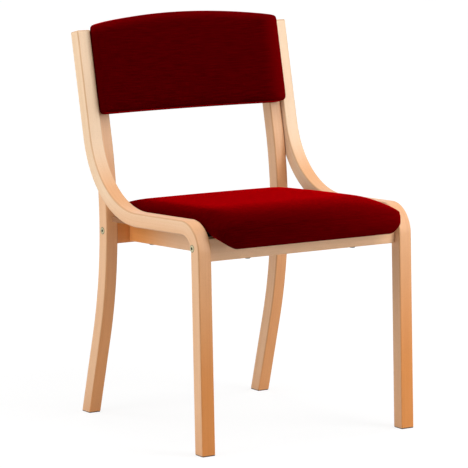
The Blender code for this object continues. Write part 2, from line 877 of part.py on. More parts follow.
# Fasteners and glides
front_bolt_back = front_rail_front + FRONT_BOLT_INSET
rear_bolt_back = rear_rail_front + RAIL_THICKNESS / 2
side_dowel_start = seat_plane(front_rail_back) - SIDE_RAIL_HEIGHT / 2
side_dowel_end = seat_plane(rear_rail_front) - SIDE_RAIL_HEIGHT / 2
upright_overlap = (BEND_THICKNESS - UPRIGHT_SETBACK) / 2
front_screw_back = front_rail_front + RAIL_THICKNESS / 2
insert_rise = board_bottom / math.cos(seat_tilt) + INSERT_RECESS
front_insert = seat_plane(front_screw_back) + insert_rise - front_rail_bottom
side_rail_depth = SIDE_RAIL_HEIGHT * math.cos(seat_tilt)
rear_screw_back = rear_rail_front - REAR_SCREW_DISTANCE - front_rail_back
back_insert = back_rear(rear_leg_middle) - COVER_THICKNESS - GAP - INSERT_RECESS
for side, sign in (("left", -1), ("right", 1)):
    inward = (-sign, 0, 0)
    add_bolt(
        "front_" + side,
        bends[side],
        front_rail,
        (sign * OVERALL_WIDTH / 2, front_bolt_back, front_rail_height + BOLT_RISE),
        inward,
        BEND_WIDTH,
    )
    add_bolt(
        "rear_" + side,
        rear_legs[side],
        rear_rail,
        (sign * rear_leg_outer, rear_bolt_back, rear_rail_height + BOLT_RISE),
        inward,
        REAR_LEG_WIDTH,
    )
    add_dowel(
        "front_rail_" + side,
        [bends[side], front_rail],
        (sign * bend_inner, front_bolt_back, front_rail_height - RAIL_DOWEL_DROP),
        inward,
        RAIL_DOWEL_LENGTH,
    )
    add_dowel(
        "rear_rail_" + side,
        [rear_legs[side], rear_rail],
        (sign * rear_leg_inner, rear_bolt_back, rear_rail_height - RAIL_DOWEL_DROP),
        inward,
        RAIL_DOWEL_LENGTH,
    )
    add_dowel(
        "side_front_" + side,
        [side_rails[side], front_rail],
        (sign * side_rail_middle, front_rail_back, side_dowel_start),
        (0, 1, 0),
        SIDE_DOWEL_LENGTH,
    )
    add_dowel(
        "side_rear_" + side,
        [side_rails[side], rear_rail],
        (sign * side_rail_middle, rear_rail_front, side_dowel_end),
        (0, 1, 0),
        SIDE_DOWEL_LENGTH,
    )
    for place_name, drop in zip(("upper", "lower"), UPRIGHT_DOWEL_DROPS):
        add_dowel(
            "upright_" + place_name + "_" + side,
            [bends[side], rear_legs[side]],
            (sign * bend_inner, upright_overlap, -drop),
            inward,
            UPRIGHT_DOWEL_LENGTH,
            back_frame,
        )
    add_screw(
        "seat_front_" + side,
        [front_rail, seat_lining],
        seat_board,
        (sign * FRONT_SCREW_SPREAD, front_screw_back, front_rail_bottom),
        (0, 0, 1),
        front_insert,
    )
    add_screw(
        "seat_rear_" + side,
        [side_rails[side], seat_lining],
        seat_board,
        (sign * side_rail_middle, rear_screw_back, -side_rail_depth),
        (0, 0, 1),
        side_rail_depth + board_bottom + INSERT_RECESS,
        seat_frame,
    )
    for place_name, drop in zip(("upper", "lower"), BACK_SCREW_DROPS):
        add_screw(
            "back_" + place_name + "_" + side,
            [rear_legs[side], back_cover],
            back_board,
            (sign * rear_leg_middle, REAR_LEG_THICKNESS, -drop),
            (0, -1, 0),
            REAR_LEG_THICKNESS - back_insert,
            back_frame,
        )
    add_glide(
        "front_" + side,
        bends[side],
        sign * bend_middle,
        front_foot.x + front_foot_depth / 2,
        BEND_WIDTH,
        front_foot_depth,
    )
    add_glide(
        "rear_" + side,
        rear_legs[side],
        sign * rear_leg_middle,
        rear_foot.x + rear_foot_depth / 2,
        REAR_LEG_WIDTH,
        rear_foot_depth,
    )
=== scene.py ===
# Conference chair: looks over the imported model, in metres, floor at z 0, the rear towards +Y
import math

import bmesh
import bpy
from mathutils import Matrix, Vector


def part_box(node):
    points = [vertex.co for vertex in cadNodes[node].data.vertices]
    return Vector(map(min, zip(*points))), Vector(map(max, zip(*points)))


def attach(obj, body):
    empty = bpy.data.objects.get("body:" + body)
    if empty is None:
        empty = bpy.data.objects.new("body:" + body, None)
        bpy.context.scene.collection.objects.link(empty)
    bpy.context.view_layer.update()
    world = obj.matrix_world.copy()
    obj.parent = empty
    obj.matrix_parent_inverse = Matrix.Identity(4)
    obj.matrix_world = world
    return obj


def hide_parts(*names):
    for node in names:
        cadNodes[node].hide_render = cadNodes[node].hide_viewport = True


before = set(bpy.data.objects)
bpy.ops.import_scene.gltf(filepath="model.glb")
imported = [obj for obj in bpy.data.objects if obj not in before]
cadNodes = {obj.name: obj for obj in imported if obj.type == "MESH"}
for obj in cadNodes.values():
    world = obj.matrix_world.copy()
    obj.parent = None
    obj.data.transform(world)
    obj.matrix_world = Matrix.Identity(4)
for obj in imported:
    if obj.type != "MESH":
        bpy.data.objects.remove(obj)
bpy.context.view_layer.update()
scene = bpy.context.scene
sides = (("left", -1), ("right", 1))
gap = 0.0003  # clearance between touching pieces
print("frame loaded,", len(cadNodes), "CAD nodes")


# Shader helpers
def addNode(tree, kind, sockets=None, **settings):
    # a socket takes a link where its value is another socket
    made = tree.nodes.new("ShaderNode" + kind)
    for key, value in settings.items():
        setattr(made, key, value)
    for key, value in (sockets or {}).items():
        if isinstance(value, bpy.types.NodeSocket):
            tree.links.new(value, made.inputs[key])
        else:
            made.inputs[key].default_value = value
    return made


def objectPlace(tree):
    return addNode(tree, "TexCoord").outputs["Object"]


def readLayer(tree, name):
    return addNode(tree, "Attribute", attribute_name=name).outputs


def splitPlace(tree, place):
    return addNode(tree, "SeparateXYZ", {0: place}).outputs


def calc(tree, operation, *values):
    made = addNode(tree, "Math", dict(enumerate(values)), operation=operation)
    return made.outputs[0]


def remap(tree, value, low, high, toLow=0.0, toHigh=1.0):
    ends = {"From Min": low, "From Max": high, "To Min": toLow, "To Max": toHigh}
    made = addNode(tree, "MapRange", {"Value": value, **ends}, interpolation_type="SMOOTHSTEP")
    return made.outputs["Result"]


def blend(tree, share, first, second, mode="MIX"):
    sockets = {0: share, 6: first, 7: second}  # factor and the two colours
    made = addNode(tree, "Mix", sockets, data_type="RGBA", blend_type=mode, clamp_factor=True)
    return made.outputs[2]


def noise(tree, place, scale=1.0, detail=2.0, roughness=0.5, distortion=0.0):
    sockets = {
        "Vector": place,
        "Scale": scale,
        "Detail": detail,
        "Roughness": roughness,
        "Distortion": distortion,
    }
    return addNode(tree, "TexNoise", sockets).outputs["Fac"]


def newGroup(name, takes, gives):
    tree = bpy.data.node_groups.new(name, "ShaderNodeTree")
    for label, kind, value in takes:
        socket = tree.interface.new_socket(label, in_out="INPUT", socket_type="NodeSocket" + kind)
        if value is not None:
            socket.default_value = value
    for label, kind in gives:
        tree.interface.new_socket(label, in_out="OUTPUT", socket_type="NodeSocket" + kind)
    return tree, tree.nodes.new("NodeGroupInput"), tree.nodes.new("NodeGroupOutput")


def useGroup(tree, group, sockets):
    return addNode(tree, "Group", sockets, node_tree=group)


def stretched(tree, vector, along, across, deep, shift):
    # a place on the piece, scaled by direction and moved on by the piece's own shift
    parts = splitPlace(tree, vector)
    moved = calc(tree, "MULTIPLY_ADD", parts[0], along, shift)
    sideways = calc(tree, "MULTIPLY", parts[1], across)
    inwards = calc(tree, "MULTIPLY", parts[2], deep)
    return addNode(tree, "CombineXYZ", {0: moved, 1: sideways, 2: inwards}).outputs[0]


# Beech figure: streaks along the grain, ray flecks, and glue lines between veneers
def makeBeechFigure():
    tree, into, out = newGroup(
        "beechFigure",
        [
            ("Grain", "Vector", None),
            ("Shift", "Float", 0.0),
            ("Pale", "Color", (0.8, 0.5, 0.3, 1.0)),
            ("Deep", "Color", (0.6, 0.3, 0.15, 1.0)),
            ("Warm", "Color", (0.8, 0.3, 0.1, 1.0)),
            ("PaintedShade", "Float", 0.0),
            ("Veneer", "Float", 0.0018),
            ("Glue", "Float", 0.0),
            ("Flecks", "Float", 0.3),
        ],
        [("Colour", "Color"), ("Gloss", "Float"), ("Height", "Float")],
    )
    grain, shift = into.outputs["Grain"], into.outputs["Shift"]
    fine = {"detail": 5.0, "roughness": 0.62, "distortion": 0.25}
    streaks = noise(tree, stretched(tree, grain, 2.6, 210.0, 210.0, shift), **fine)
    broad = noise(tree, stretched(tree, grain, 3.1, 26.0, 26.0, shift), **fine)
    specks = noise(tree, stretched(tree, grain, 210.0, 1500.0, 1500.0, shift), detail=1.0)
    fleck = remap(tree, specks, 0.60, 0.72)
    layer = calc(tree, "DIVIDE", splitPlace(tree, grain)[2], into.outputs["Veneer"])
    layer = calc(tree, "ADD", layer, 0.45)
    sheet = calc(tree, "ADD", calc(tree, "FLOOR", layer), shift)
    sheetTone = addNode(tree, "TexWhiteNoise", {"W": sheet}, noise_dimensions="1D").outputs["Value"]
    toLine = calc(tree, "ABSOLUTE", calc(tree, "SUBTRACT", calc(tree, "FRACT", layer), 0.5))
    line = calc(tree, "MULTIPLY", remap(tree, toLine, 0.40, 0.49), into.outputs["Glue"])
    depth = calc(tree, "MULTIPLY", remap(tree, streaks, 0.32, 0.70), 0.42)
    depth = calc(tree, "MULTIPLY_ADD", remap(tree, broad, 0.30, 0.70), 0.40, depth)
    depth = calc(tree, "MULTIPLY_ADD", sheetTone, calc(tree, "MULTIPLY", into.outputs["Glue"], 0.5), depth)
    # the ground runs from pale to warm by the painted shade that the piece passes in
    ground = blend(tree, into.outputs["PaintedShade"], into.outputs["Pale"], into.outputs["Warm"])
    colour = blend(tree, depth, ground, blend(tree, 1.0, ground, into.outputs["Deep"], "MULTIPLY"))
    marks = calc(tree, "MAXIMUM", calc(tree, "MULTIPLY", fleck, into.outputs["Flecks"]), line)
    colour = blend(tree, marks, colour, (0.30, 0.135, 0.055, 1.0))
    tree.links.new(colour, out.inputs["Colour"])
    tree.links.new(calc(tree, "MULTIPLY_ADD", depth, 0.10, marks), out.inputs["Gloss"])
    tree.links.new(calc(tree, "MULTIPLY_ADD", marks, -0.6, depth), out.inputs["Height"])
    return tree


# Wool cloth: plain weave with uneven weft yarns, and loose fibres
def makeClothWeave():
    tree, into, out = newGroup(
        "clothWeave",
        [("Cloth", "Vector", None), ("Pitch", "Float", 0.0012), ("Slub", "Float", 0.5)],
        [("Tone", "Float"), ("Height", "Float")],
    )
    parts = splitPlace(tree, into.outputs["Cloth"])
    turn = calc(tree, "DIVIDE", math.pi, into.outputs["Pitch"])
    warp = calc(tree, "SINE", calc(tree, "MULTIPLY", parts[0], turn))
    weft = calc(tree, "SINE", calc(tree, "MULTIPLY", parts[1], turn))
    crossing = calc(tree, "MULTIPLY", warp, weft)
    knit = calc(tree, "MULTIPLY_ADD", crossing, 0.5, 0.5)
    yarn = noise(tree, stretched(tree, into.outputs["Cloth"], 24.0, 560.0, 560.0, 0.0), detail=3.0)
    slub = remap(tree, yarn, 0.30, 0.70)
    fibres = noise(tree, into.outputs["Cloth"], scale=2600.0)
    tone = calc(tree, "MULTIPLY_ADD", knit, 0.35, calc(tree, "MULTIPLY", slub, into.outputs["Slub"]))
    tone = calc(tree, "MULTIPLY_ADD", fibres, 0.3, tone)
    tree.links.new(tone, out.inputs["Tone"])
    tree.links.new(calc(tree, "MULTIPLY_ADD", slub, 0.5, knit), out.inputs["Height"])
    return tree


# Handling marks on metal and plastic: cloudy gloss and fine scratches
def makeHandling():
    tree, into, out = newGroup(
        "handling",
        [("Place", "Vector", None), ("Scale", "Float", 300.0)],
        [("Cloud", "Float"), ("Scratch", "Float")],
    )
    place = into.outputs["Place"]
    cloud = noise(tree, place, scale=into.outputs["Scale"], detail=4.0)
    lines = noise(tree, stretched(tree, place, 90.0, 2600.0, 2600.0, 0.0))
    tree.links.new(cloud, out.inputs["Cloud"])
    tree.links.new(remap(tree, lines, 0.55, 0.75), out.inputs["Scratch"])
    return tree


beechFigure = makeBeechFigure()
clothWeave = makeClothWeave()
handling = makeHandling()


def newMaterial(name, colour, roughness, metallic=0.0):
    material = bpy.data.materials.new(name)
    material.use_nodes = True
    shader = material.node_tree.nodes["Principled BSDF"]
    shader.inputs["Base Color"].default_value = (*colour, 1.0)
    shader.inputs["Roughness"].default_value = roughness
    shader.inputs["Metallic"].default_value = metallic
    material.diffuse_color = (*colour, 1.0)
    return material, material.node_tree, shader


def bump(tree, shader, height, strength, distance):
    made = addNode(tree, "Bump", {"Height": height, "Strength": strength, "Distance": distance})
    tree.links.new(made.outputs["Normal"], shader.inputs["Normal"])


beechLook = {
    "pale": (0.86, 0.640, 0.440),
    # the warm colour is what the wood is painted in its shade
    "warm": (0.74, 0.285, 0.068),
    "deep": (0.90, 0.83, 0.74),
    "arris": (0.50, 0.235, 0.085),
    "roughness": 0.40,
    "coat": 0.09,
    "veneer": 0.0021,
    "glue": 0.16,
    "flecks": 0.20,
}


legShadeTone = {
    "legHeights": (0.10, 0.46),
    "legShare": 0.6,  # of the warmth left at the top of the leg
    "seatHeights": (0.42, 0.60),
    "sideHeights": (0.43, 0.50),
    "sideLow": 0.40,
    "sideHigh": 0.38,
    "turn": (0.5, 0.85),  # from the front face to the side face
}
railShadeTone = {"places": (-0.06, 0.13), "shadeWarmth": (0.36, 0.95)}


def legPaintedShade(tree, least, most):
    # painted shade and painted reflection: deeper and warmer towards the floor and below the seat, where
    # less light falls, and paler on the side faces, standing for the bright surroundings they reflect
    tone = legShadeTone
    height = splitPlace(tree, objectPlace(tree))[2]
    ahead = remap(tree, height, *tone["legHeights"], most, least + (most - least) * tone["legShare"])
    ahead = calc(tree, "MINIMUM", ahead, remap(tree, height, *tone["seatHeights"], most, least))
    beside = remap(tree, height, *tone["sideHeights"], tone["sideLow"], min(least, tone["sideHigh"]))
    onSide = remap(tree, readLayer(tree, "sideFacing")["Fac"], *tone["turn"])
    return calc(tree, "MULTIPLY_ADD", onSide, calc(tree, "SUBTRACT", beside, ahead), ahead)


def railPaintedShade(tree):
    # painted shade and bounced light: rails deeper and warmer towards the rear, standing for the shade and
    # the warm light bounced from the wood round them
    along = splitPlace(tree, objectPlace(tree))[1]
    return remap(tree, along, *railShadeTone["places"], *railShadeTone["shadeWarmth"])


def makeBeech(name, shift, glue, shadeWarmth, fromObject=False, paintedLevel=1.0):
    look = beechLook
    # this level paints light or shade over the whole piece: above 1 painted light, below 1 painted shade
    pale = [paintedLevel * part for part in look["pale"]]
    warm = [paintedLevel * part for part in look["warm"]]
    material, tree, shader = newMaterial(name, pale, look["roughness"])
    if fromObject:
        grain = objectPlace(tree)
    else:
        grain = readLayer(tree, "grain")["Vector"]
    figure = useGroup(
        tree,
        beechFigure,
        {
            "Grain": grain,
            "Shift": shift,
            "Pale": (*pale, 1.0),
            "Deep": (*look["deep"], 1.0),
            "Warm": (*warm, 1.0),
            "PaintedShade": shadeWarmth(tree),
            "Veneer": look["veneer"],
            "Glue": glue,
            "Flecks": look["flecks"],
        },
    )
    colour = figure.outputs["Colour"]
    if not fromObject:
        arris = readLayer(tree, "arris")["Fac"]
        colour = blend(tree, calc(tree, "MULTIPLY", arris, 0.55), colour, (*look["arris"], 1.0))
    tree.links.new(colour, shader.inputs["Base Color"])
    rough = calc(tree, "MULTIPLY_ADD", figure.outputs["Gloss"], 0.12, look["roughness"])
    tree.links.new(rough, shader.inputs["Roughness"])
    shader.inputs["Specular IOR Level"].default_value = 0.3
    shader.inputs["Coat Weight"].default_value = look["coat"]
    shader.inputs["Coat Roughness"].default_value = 0.22
    bump(tree, shader, figure.outputs["Height"], 0.10, 0.0004)
    return material


def makeLegBeech(name, shift, least, most):
    return makeBeech(name, shift, beechLook["glue"], lambda tree: legPaintedShade(tree, least, most))


clothLook = {
    "deep": (0.030, 0.0, 0.0003),
    "bright": (0.085, 0.0, 0.0006),
    "paintedLight": (0.55, 0.0, 0.0016),
    "sheenFall": 9.0,
    "paintedLift": 0.20,
    "sheen": (0.80, 0.0, 0.0020),
    "pitch": 0.00125,
}


def makeCloth():
    look = clothLook
    material, tree, shader = newMaterial("redCloth", look["bright"], 0.92)
    cloth = readLayer(tree, "cloth")["Vector"]
    weave = useGroup(tree, clothWeave, {"Cloth": cloth, "Pitch": look["pitch"], "Slub": 0.55})
    colour = blend(tree, weave.outputs["Tone"], (*look["deep"], 1.0), (*look["bright"], 1.0))
    # painted sheen and shade: the colour turns bright red where the cloth is seen at a grazing angle, less
    # on the left side and more towards the right-hand end, as the cloth's second layer gives
    grazing = addNode(tree, "LayerWeight", {"Blend": 0.5}).outputs["Facing"]
    sheenAndShade = readLayer(tree, "sheenAndShade")["Fac"]
    grazingSheen = calc(tree, "POWER", grazing, look["sheenFall"])
    grazingSheen = calc(tree, "MULTIPLY", grazingSheen, remap(tree, sheenAndShade, -1.0, 0.0, 0.3, 1.0))
    paintedLift = calc(tree, "MULTIPLY_ADD", calc(tree, "MAXIMUM", sheenAndShade, 0.0), look["paintedLift"], grazingSheen)
    colour = blend(tree, paintedLift, colour, (*look["paintedLight"], 1.0))
    tree.links.new(colour, shader.inputs["Base Color"])
    shader.inputs["Specular IOR Level"].default_value = 0.0
    shader.inputs["Sheen Weight"].default_value = 0.55
    shader.inputs["Sheen Roughness"].default_value = 0.22
    shader.inputs["Sheen Tint"].default_value = (*look["sheen"], 1.0)
    bump(tree, shader, weave.outputs["Height"], 0.45, 0.0005)
    return material


def makeLining():
    material, tree, shader = newMaterial("blackLining", (0.010, 0.010, 0.011), 0.88)
    weave = useGroup(tree, clothWeave, {"Cloth": objectPlace(tree), "Pitch": 0.0008, "Slub": 0.3})
    colour = blend(tree, weave.outputs["Tone"], (0.006, 0.006, 0.007, 1.0), (0.022, 0.021, 0.021, 1.0))
    tree.links.new(colour, shader.inputs["Base Color"])
    bump(tree, shader, weave.outputs["Height"], 0.4, 0.0003)
    return material


def makeMetal(name, colour, dull, roughness):
    material, tree, shader = newMaterial(name, colour, roughness, 1.0)
    marks = useGroup(tree, handling, {"Place": objectPlace(tree), "Scale": 420.0})
    shade = blend(tree, remap(tree, marks.outputs["Cloud"], 0.35, 0.75), (*colour, 1.0), (*dull, 1.0))
    # painted shade: the socket floor and the outer rim of each head are darkened, standing for the shade
    # in the socket and the shadow round the head
    shade = blend(tree, readLayer(tree, "recessShade")["Fac"], shade, (0.020, 0.016, 0.010, 1.0))
    tree.links.new(shade, shader.inputs["Base Color"])
    rough = calc(tree, "MULTIPLY_ADD", marks.outputs["Cloud"], 0.22, roughness - 0.1)
    rough = calc(tree, "MULTIPLY_ADD", marks.outputs["Scratch"], 0.15, rough)
    tree.links.new(rough, shader.inputs["Roughness"])
    bump(tree, shader, marks.outputs["Scratch"], 0.08, 0.0001)
    return material


def makePlastic():
    material, tree, shader = newMaterial("brownPlastic", (0.050, 0.030, 0.020), 0.55)
    marks = useGroup(tree, handling, {"Place": objectPlace(tree), "Scale": 900.0})
    shade = blend(tree, marks.outputs["Cloud"], (0.034, 0.020, 0.013, 1.0), (0.075, 0.048, 0.032, 1.0))
    tree.links.new(shade, shader.inputs["Base Color"])
    rough = calc(tree, "MULTIPLY_ADD", marks.outputs["Scratch"], 0.2, 0.48)
    tree.links.new(rough, shader.inputs["Roughness"])
    bump(tree, shader, marks.outputs["Cloud"], 0.15, 0.0002)
    return material


laminateLeft = makeLegBeech("laminatedBeechLeft", 3.0, 0.0, 1.0)
laminateRight = makeLegBeech("laminatedBeechRight", 11.0, 0.0, 1.0)
# painted shade: the rear legs keep at least this much of the warm colour, for the shade under the seat and
# the back
rearBeechLeft = makeLegBeech("rearBeechLeft", 23.0, 0.45, 0.82)
rearBeechRight = makeLegBeech("rearBeechRight", 31.0, 0.45, 0.82)
# painted light: the rails are made paler, standing for more light under the seat than the lamps bring
railBeech = makeBeech("solidBeech", 47.0, 0.0, railPaintedShade, paintedLevel=1.07)
dowelBeech = makeBeech("dowelBeech", 59.0, 0.0, railPaintedShade, fromObject=True)
# painted shade: the board is made dark so that the strip of it seen under the seat reads as the shaded
# wood there
boardPly = makeBeech("plywoodBoard", 67.0, 0.5, railPaintedShade, fromObject=True, paintedLevel=0.36)
redCloth = makeCloth()
blackLining = makeLining()
brass = makeMetal("brassPlate", (0.60, 0.54, 0.34), (0.44, 0.39, 0.23), 0.34)
zinc = makeMetal("zincPlate", (0.62, 0.61, 0.58), (0.46, 0.45, 0.43), 0.40)
brownPlastic = makePlastic()
print("materials made,", len(bpy.data.materials))


# Mesh helpers
def addPiece(name, mesh, material, stoodFor, smoothAngle=35.0):
    piece = bpy.data.objects.new(name, mesh)
    scene.collection.objects.link(piece)
    mesh.materials.clear()
    mesh.materials.append(material)
    mesh.polygons.foreach_set("use_smooth", [True] * len(mesh.polygons))
    mesh.set_sharp_from_angle(angle=math.radians(smoothAngle))
    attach(piece, "root")
    if stoodFor:
        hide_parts(*stoodFor)
    return piece


def toMesh(bm, name):
    mesh = bpy.data.meshes.new(name)
    bm.to_mesh(mesh)
    bm.free()
    return mesh


def weighted(piece):
    normals = piece.modifiers.new("flatFaces", "WEIGHTED_NORMAL")
    normals.keep_sharp = True
    normals.weight = 80


def evaluated(carrier):
    # mesh with the carrier's modifiers applied; the carrier is removed
    scene.collection.objects.link(carrier)
    graph = bpy.context.evaluated_depsgraph_get()
    mesh = bpy.data.meshes.new_from_object(carrier.evaluated_get(graph))
    bpy.data.objects.remove(carrier, do_unlink=True)
    return mesh


def carve(mesh, cutters):
    # mesh with the cutters taken away
    carrier = bpy.data.objects.new("carved", mesh)
    tools = []
    for cutter in cutters:
        tool = bpy.data.objects.new("cutter", cutter)
        scene.collection.objects.link(tool)
        tools.append(tool)
        boolean = carrier.modifiers.new("carve", "BOOLEAN")
        boolean.operation = "DIFFERENCE"
        boolean.solver = "EXACT"
        boolean.object = tool
    result = evaluated(carrier)
    for tool in tools:
        bpy.data.objects.remove(tool, do_unlink=True)
    return result


def boxMesh(low, high):
    bm = bmesh.new()
    bmesh.ops.create_cube(bm, size=1.0)
    size = [b - a for a, b in zip(low, high)]
    bmesh.ops.scale(bm, verts=bm.verts, vec=size)
    bmesh.ops.translate(bm, verts=bm.verts, vec=[(a + b) / 2 for a, b in zip(low, high)])
    return bm


def roundEdges(bm, edges, width, segments):
    return bmesh.ops.bevel(
        bm,
        geom=edges,
        offset=width,
        offset_type="OFFSET",
        segments=segments,
        profile=0.5,
        affect="EDGES",
        material=-1,
        clamp_overlap=True,
    )


def markFaces(bm, rounded):
    # arris is 1 along the middle of each rounded edge; the layer of side faces (abs of the normal's x) is
    # 1 on the faces to either side, which the leg wood paints paler as a painted reflection
    arris = bm.verts.layers.float.new("arris")
    sideFacing = bm.verts.layers.float.new("sideFacing")
    strip = set(rounded["faces"])
    bm.normal_update()
    for vert in bm.verts:
        vert[arris] = float(all(face in strip for face in vert.link_faces))
        vert[sideFacing] = abs(vert.normal.x)


# Bent laminated legs, swept from foot to top by extruding and spinning a rectangle
bendShape = {
    "corners": ((-0.25667, 0.0), (-0.23981, 0.4689), (0.14209, 0.45356), (0.22360, 0.81529)),
    "radii": (0.0626, 0.177),
    "steps": (26, 34),
    "width": 0.031,
    "thickness": 0.029,
    "middle": 0.2445,
    "edge": 0.0030,
    "sole": 0.0023,
}
rearShape = {
    "corners": ((0.23758, 0.0), (0.13576, 0.380), (0.23336, 0.81309)),
    "radii": (0.900,),
    "steps": (40,),
    "width": 0.028,
    "thickness": 0.031,
    "middle": 0.2147,
    "edge": 0.0030,
    "sole": 0.0023,
}
sweep = {
    "below": 0.03,  # swept past the floor, then cut off at the sole
    "sharp": 0.6,  # least angle of an edge that is rounded, in radians
    "footEdge": 0.01,  # edges under this height stay sharp
    "segments": 4,
}


def pushFace(bm, face, move):
    made = bmesh.ops.extrude_face_region(bm, geom=[face])["geom"]
    bmesh.ops.translate(bm, verts=[g for g in made if isinstance(g, bmesh.types.BMVert)], vec=move)
    return next(g for g in made if isinstance(g, bmesh.types.BMFace))


def dropInner(bm):
    # each push leaves its old face inside the piece
    inner = [f for f in bm.faces if all(len(e.link_faces) > 2 for e in f.edges)]
    bmesh.ops.delete(bm, geom=inner, context="FACES_ONLY")


def spinFace(bm, face, centre, angle, steps):
    made = bmesh.ops.spin(
        bm, geom=[face], cent=centre, axis=(1, 0, 0), dvec=(0, 0, 0), angle=angle, steps=steps
    )["geom_last"]
    return next(g for g in made if isinstance(g, bmesh.types.BMFace))


def rightOf(heading):
    return Vector((0.0, heading.z, -heading.y))


def bentLeg(name, shape, middle, material, stoodFor):
    corners = [Vector((0.0, y, z)) for y, z in shape["corners"]]
    headings = [(b - a).normalized() for a, b in zip(corners, corners[1:])]
    across = Vector((middle, 0.0, 0.0))
    start = corners[0] - headings[0] * sweep["below"]
    inward = rightOf(headings[0]) * shape["thickness"]
    half = Vector((shape["width"] / 2, 0.0, 0.0))
    bm = bmesh.new()
    ends = (start - half, start + half, start + half + inward, start - half + inward)
    face = bm.faces.new([bm.verts.new(end + across) for end in ends])
    route = []  # runs and turns with the distance along the leg, for the grain
    done = 0.0
    here = start
    for corner, radius, steps, before, after in zip(
        corners[1:], shape["radii"], shape["steps"], headings, headings[1:]
    ):
        angle = math.atan2(after.z, after.y) - math.atan2(before.z, before.y)
        setback = radius * math.tan(abs(angle) / 2)
        bendStart = corner - before * setback
        face = pushFace(bm, face, bendStart - here)
        length = (bendStart - here).length
        route.append(("run", here, before, done, length))
        done += length
        centre = bendStart - rightOf(before) * math.copysign(radius, angle)
        face = spinFace(bm, face, centre, angle, steps)
        route.append(("turn", centre, bendStart - centre, done, radius, angle))
        done += radius * abs(angle)
        here = corner + after * setback
    pushFace(bm, face, corners[-1] - here)
    route.append(("run", here, headings[-1], done, (corners[-1] - here).length + 0.01))
    everything = bm.verts[:] + bm.edges[:] + bm.faces[:]
    bmesh.ops.bisect_plane(
        bm, geom=everything, plane_co=(0, 0, shape["sole"]), plane_no=(0, 0, 1), clear_inner=True
    )
    bmesh.ops.holes_fill(bm, edges=[e for e in bm.edges if e.is_boundary])
    dropInner(bm)
    bmesh.ops.recalc_face_normals(bm, faces=bm.faces)
    sharp = [e for e in bm.edges if e.calc_face_angle(0.0) > sweep["sharp"]]
    sharp = [e for e in sharp if max(v.co.z for v in e.verts) > sweep["footEdge"]]
    markFaces(bm, roundEdges(bm, sharp, shape["edge"], sweep["segments"]))
    grain = bm.verts.layers.float_vector.new("grain")
    for vert in bm.verts:
        vert[grain] = grainAt(vert.co, route, shape["thickness"])
    weighted(addPiece(name, toMesh(bm, name), material, stoodFor))


def grainAt(place, route, thickness):
    # distance along the leg, place across it, and depth under its front face
    best = None
    for kind, base, aim, done, *rest in route:
        arm = Vector((0.0, place.y, place.z)) - base
        if kind == "run":
            along = arm.dot(aim)
            depth = arm.dot(rightOf(aim))
            over = max(0.0, -along, along - rest[0])
            spot = (done + along, place.x, depth)
        else:
            radius, angle = rest
            turned = math.atan2(arm.z, arm.y) - math.atan2(aim.z, aim.y)
            turned = (turned + math.pi) % (2 * math.pi) - math.pi
            share = turned / angle
            depth = math.copysign(1.0, angle) * (arm.length - radius)
            over = radius * abs(angle) * max(0.0, -share, share - 1.0)
            spot = (done + radius * turned * math.copysign(1.0, angle), place.x, depth)
        miss = over + max(0.0, -depth, depth - thickness)
        if best is None or miss < best[0] - 1e-6:
            best = (miss, spot)
    return best[1]


for side, sign in sides:
    left = sign < 0
    bentLeg(
        "sideBend_" + side,
        bendShape,
        sign * bendShape["middle"],
        laminateLeft if left else laminateRight,
        ["side_bend_" + side],
    )
    bentLeg(
        "rearLeg_" + side,
        rearShape,
        sign * rearShape["middle"],
        rearBeechLeft if left else rearBeechRight,
        ["rear_leg_" + side],
    )
print("legs swept")


# Seat rails, with the holes for their barrel nuts open underneath
railShape = {"edge": 0.0018, "nutHole": 0.0055, "nutBelow": 0.01}


def holeMesh(x, y, low, high, radius):
    bm = bmesh.new()
    bmesh.ops.create_cone(
        bm, cap_ends=True, segments=32, radius1=radius, radius2=radius, depth=high - low
    )
    bmesh.ops.translate(bm, verts=bm.verts, vec=(x, y, (low + high) / 2))
    return toMesh(bm, "hole")


def setGrain(mesh, along, across):
    layer = mesh.attributes.new("grain", "FLOAT_VECTOR", "POINT")
    for vert, value in zip(mesh.vertices, layer.data):
        value.vector = (vert.co[along], vert.co[across], vert.co.z)


def rail(name, node, along, nuts, slope=0.0):
    low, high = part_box(node)
    bm = boxMesh(low, high)
    middle = (low + high) / 2
    fall = slope * (high.y - low.y)
    for vert in bm.verts:
        # a side rail falls to the rear inside its box
        atRear = vert.co.y > middle.y
        atTop = vert.co.z > middle.z
        if atRear and atTop:
            vert.co.z -= fall
        elif not atRear and not atTop:
            vert.co.z += fall
    markFaces(bm, roundEdges(bm, bm.edges[:], railShape["edge"], 3))
    mesh = toMesh(bm, name)
    holes = []
    for nut in nuts:
        nutLow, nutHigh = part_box(nut)
        spot = (nutLow + nutHigh) / 2
        below = low.z - railShape["nutBelow"]
        holes.append(holeMesh(spot.x, spot.y, below, nutHigh.z + gap, railShape["nutHole"]))
    if holes:
        mesh = carve(mesh, holes)
    setGrain(mesh, along, 1 - along)
    weighted(addPiece(name, mesh, railBeech, [node]))


seatFall = 0.04166  # how far the seat falls to the rear for each metre
rail("frontRail", "front_rail", 0, ["barrel_nut_front_left", "barrel_nut_front_right"])
rail("rearRail", "rear_rail", 0, ["barrel_nut_rear_left", "barrel_nut_rear_right"])
for side, _ in sides:
    rail("sideRail_" + side, "side_rail_" + side, 1, [], seatFall)
print("rails made")


